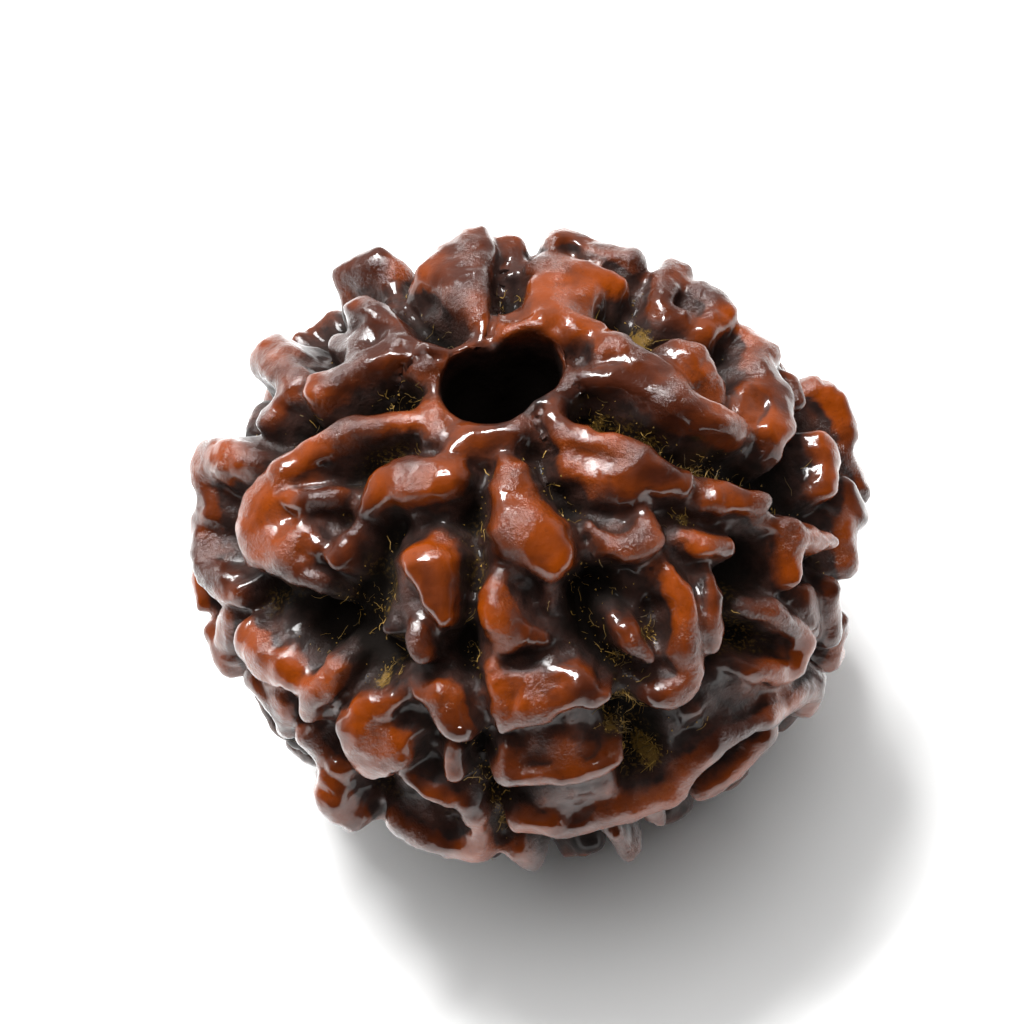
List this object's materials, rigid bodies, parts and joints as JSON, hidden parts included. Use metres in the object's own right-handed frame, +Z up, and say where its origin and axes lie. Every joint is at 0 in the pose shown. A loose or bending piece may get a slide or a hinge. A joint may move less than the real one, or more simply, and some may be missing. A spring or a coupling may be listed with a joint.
{
  "type": "rudraksha bead",
  "caption": "Round, deeply knobbed natural seed bead with straight grooves running from pole to pole and a hole through its core for a thread.",
  "frame": {"origin": "middle of the bead's foot, on the thread hole's line, at the plane that it stands on", "axes": "+Z up along the thread hole, -Y towards the front, +X to the right"},
  "size_m": [0.0238, 0.0235, 0.0201],
  "materials": {
    "stone": "oiled, glossy on the knobs"
  },
  "bodies": {
    "root": {"bead": "stone"}
  },
  "joints": []
}
